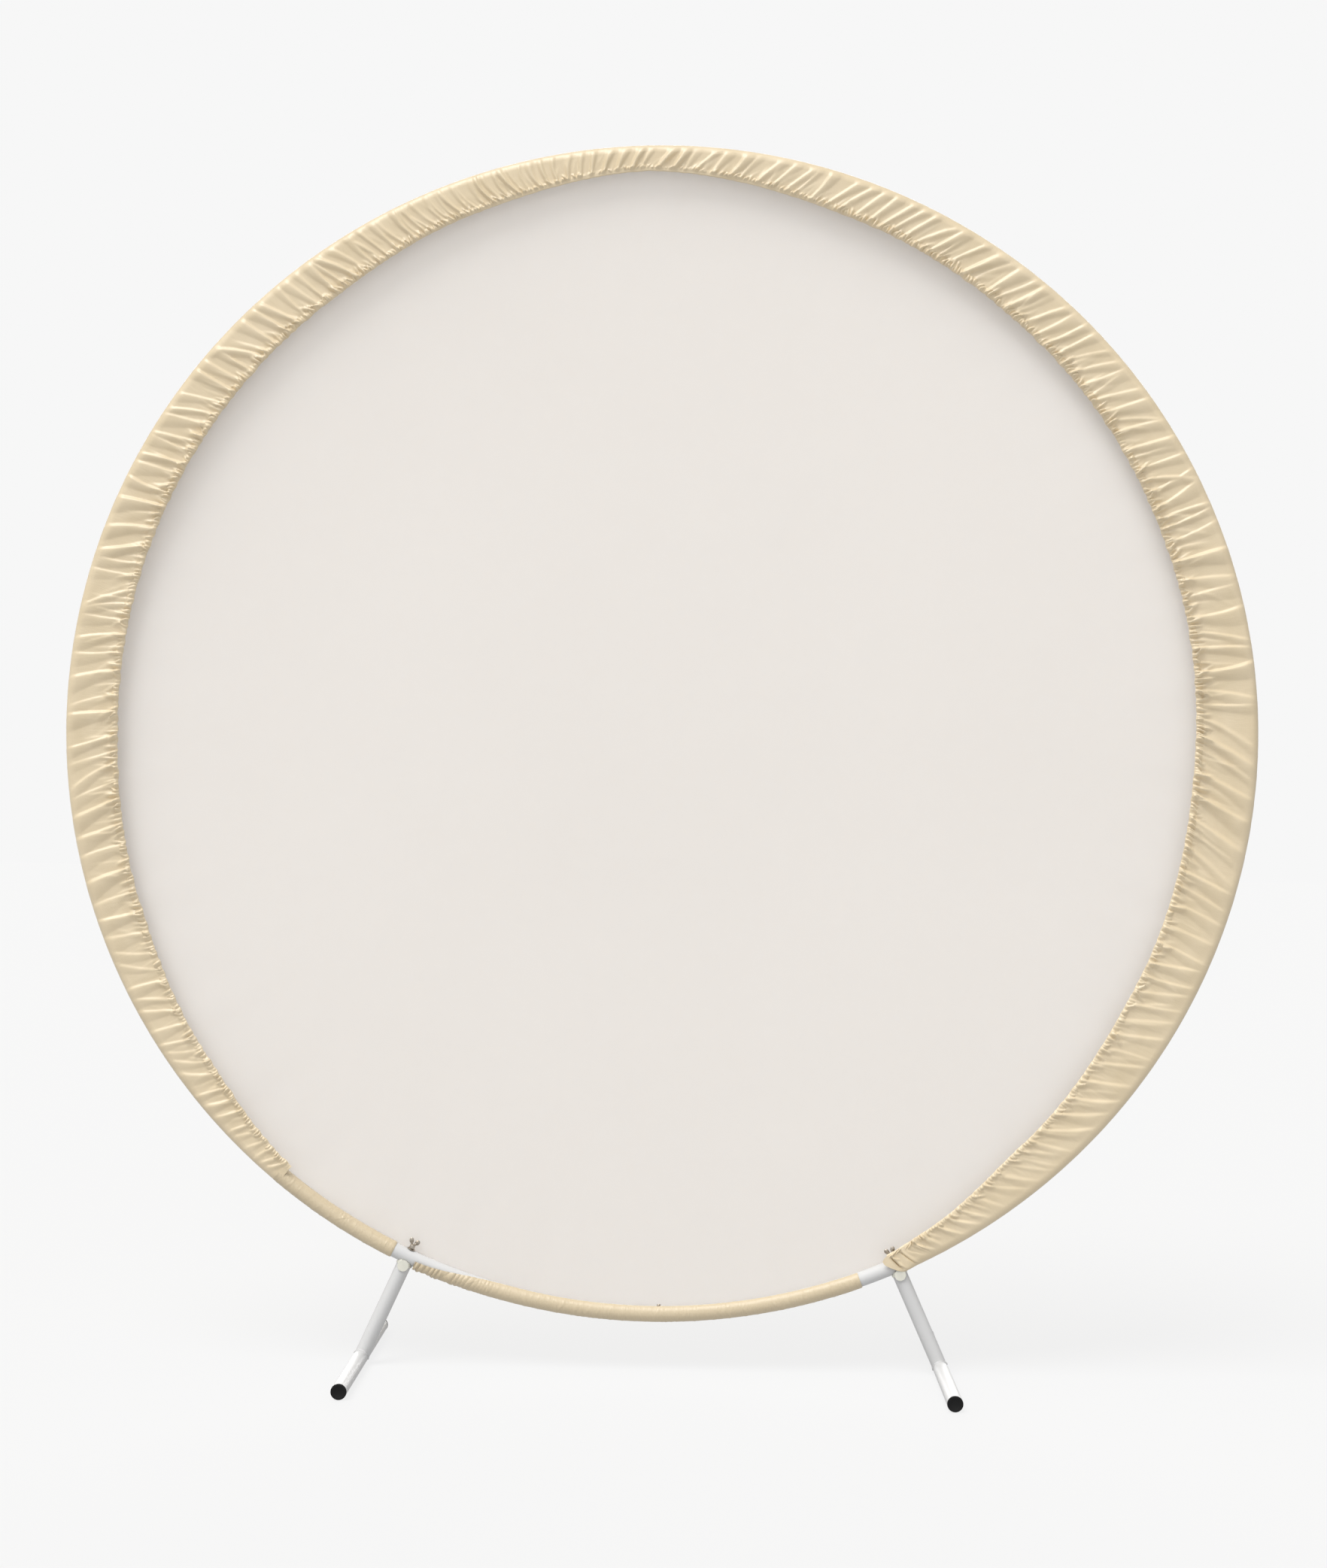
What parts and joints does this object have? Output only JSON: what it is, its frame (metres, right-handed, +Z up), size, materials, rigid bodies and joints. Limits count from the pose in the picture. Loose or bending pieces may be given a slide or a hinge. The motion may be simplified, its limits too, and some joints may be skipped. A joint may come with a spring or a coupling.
{
  "type": "round backdrop stand",
  "caption": "Round tube-frame photo backdrop stand on T-shaped feet held by wing bolts, with a stretched fabric cover whose gathered elastic hem folds to the back.",
  "frame": {"origin": "on the floor, under the middle of the ring", "axes": "+Z up, +Y towards the side that the cover's front panel faces, +X to the right seen from the back"},
  "size_m": [2.012, 0.5046, 2.0674],
  "materials": {
    "powder_coat": "glossy white powder coat",
    "zinc": "zinc plated",
    "black_plastic": "satin moulded",
    "ivory_plastic": "satin moulded",
    "champagne_satin": "satin sheen",
    "satin_reverse": "matt reverse of the satin",
    "elastic": "woven elastic tape"
  },
  "bodies": {
    "frame_and_cover": {"ring_section_1": "powder_coat", "ring_section_2": "powder_coat", "ring_section_3": "powder_coat", "ring_section_4": "powder_coat", "ring_section_5": "powder_coat", "ring_section_6": "powder_coat", "ring_section_7": "powder_coat", "ring_section_8": "powder_coat", "spigot_1": "zinc", "spigot_2": "zinc", "spigot_3": "zinc", "spigot_4": "zinc", "spigot_5": "zinc", "spigot_6": "zinc", "spigot_7": "zinc", "spigot_8": "zinc", "button_spring_1": "zinc", "button_spring_2": "zinc", "button_spring_3": "zinc", "button_spring_4": "zinc", "button_spring_5": "zinc", "button_spring_6": "zinc", "button_spring_7": "zinc", "button_spring_8": "zinc", "left_saddle": "ivory_plastic", "right_saddle": "ivory_plastic", "front_panel": "satin_reverse", "edge_strip_right": "champagne_satin", "edge_strip_top": "champagne_satin", "edge_strip_left": "champagne_satin", "rear_band_right": "champagne_satin", "rear_band_top": "champagne_satin", "rear_band_left": "champagne_satin", "hem_elastic": "elastic", "left_sleeve": "champagne_satin", "bottom_sleeve": "champagne_satin"},
    "left_foot": {"left_leg_tube": "powder_coat", "left_leg_plug": "zinc", "left_floor_tube": "powder_coat", "left_back_cap": "black_plastic", "left_front_cap": "black_plastic"},
    "left_washer": {"left_bolt_washer": "zinc"},
    "left_bolt": {"left_wing_bolt": "zinc"},
    "right_foot": {"right_leg_tube": "powder_coat", "right_leg_plug": "zinc", "right_floor_tube": "powder_coat", "right_back_cap": "black_plastic", "right_front_cap": "black_plastic"},
    "right_washer": {"right_bolt_washer": "zinc"},
    "right_bolt": {"right_wing_bolt": "zinc"},
    "button_1": {"lock_button_1": "zinc"},
    "button_2": {"lock_button_2": "zinc"},
    "button_3": {"lock_button_3": "zinc"},
    "button_4": {"lock_button_4": "zinc"},
    "button_5": {"lock_button_5": "zinc"},
    "button_6": {"lock_button_6": "zinc"},
    "button_7": {"lock_button_7": "zinc"},
    "button_8": {"lock_button_8": "zinc"}
  },
  "joints": [
    {"name": "left_foot_swivel", "type": "hinge", "parent": "frame_and_cover", "child": "left_foot", "pos_m": [-0.41138, 0, 0.18358], "axis": [0.4102, 0, 0.912], "range_deg": [-90, 90]},
    {"name": "left_bolt_travel", "type": "slide", "parent": "frame_and_cover", "child": "left_washer", "axis": [0.4102, 0, 0.912], "range_m": [0, 0.014]},
    {"name": "left_bolt_turn", "type": "hinge", "parent": "left_washer", "child": "left_bolt", "pos_m": [-0.41138, 0, 0.18358], "axis": [0.4102, 0, 0.912], "range_deg": [0, 5040]},
    {"name": "right_foot_swivel", "type": "hinge", "parent": "frame_and_cover", "child": "right_foot", "pos_m": [0.41138, 0, 0.18358], "axis": [-0.4102, 0, 0.912], "range_deg": [-90, 90]},
    {"name": "right_bolt_travel", "type": "slide", "parent": "frame_and_cover", "child": "right_washer", "axis": [-0.4102, 0, 0.912], "range_m": [0, 0.014]},
    {"name": "right_bolt_turn", "type": "hinge", "parent": "right_washer", "child": "right_bolt", "pos_m": [0.41138, 0, 0.18358], "axis": [-0.4102, 0, 0.912], "range_deg": [0, 5040]},
    {"name": "button_1_press", "type": "slide", "parent": "frame_and_cover", "child": "button_1", "axis": [0.043, 0, -0.9991], "range_m": [0, 0.0036], "stiffness_N_per_m": 800, "springref_m": -0.003},
    {"name": "button_2_press", "type": "slide", "parent": "frame_and_cover", "child": "button_2", "axis": [0.7328, 0, -0.6804], "range_m": [0, 0.0036], "stiffness_N_per_m": 800, "springref_m": -0.003},
    {"name": "button_3_press", "type": "slide", "parent": "frame_and_cover", "child": "button_3", "axis": [0.999, 0, 0.0442], "range_m": [0, 0.0036], "stiffness_N_per_m": 800, "springref_m": -0.003},
    {"name": "button_4_press", "type": "slide", "parent": "frame_and_cover", "child": "button_4", "axis": [0.6707, 0, 0.7417], "range_m": [0, 0.0036], "stiffness_N_per_m": 800, "springref_m": -0.003},
    {"name": "button_5_press", "type": "slide", "parent": "frame_and_cover", "child": "button_5", "axis": [-0.043, 0, 0.9991], "range_m": [0, 0.0036], "stiffness_N_per_m": 800, "springref_m": -0.003},
    {"name": "button_6_press", "type": "slide", "parent": "frame_and_cover", "child": "button_6", "axis": [-0.7328, 0, 0.6804], "range_m": [0, 0.0036], "stiffness_N_per_m": 800, "springref_m": -0.003},
    {"name": "button_7_press", "type": "slide", "parent": "frame_and_cover", "child": "button_7", "axis": [-0.999, 0, -0.0442], "range_m": [0, 0.0036], "stiffness_N_per_m": 800, "springref_m": -0.003},
    {"name": "button_8_press", "type": "slide", "parent": "frame_and_cover", "child": "button_8", "axis": [-0.6707, 0, -0.7417], "range_m": [0, 0.0036], "stiffness_N_per_m": 800, "springref_m": -0.003}
  ],
  "couplings": [
    {"joint": "left_bolt_turn", "follows": "left_bolt_travel", "rad_per_m": 6283.2},
    {"joint": "right_bolt_turn", "follows": "right_bolt_travel", "rad_per_m": 6283.2}
  ]
}
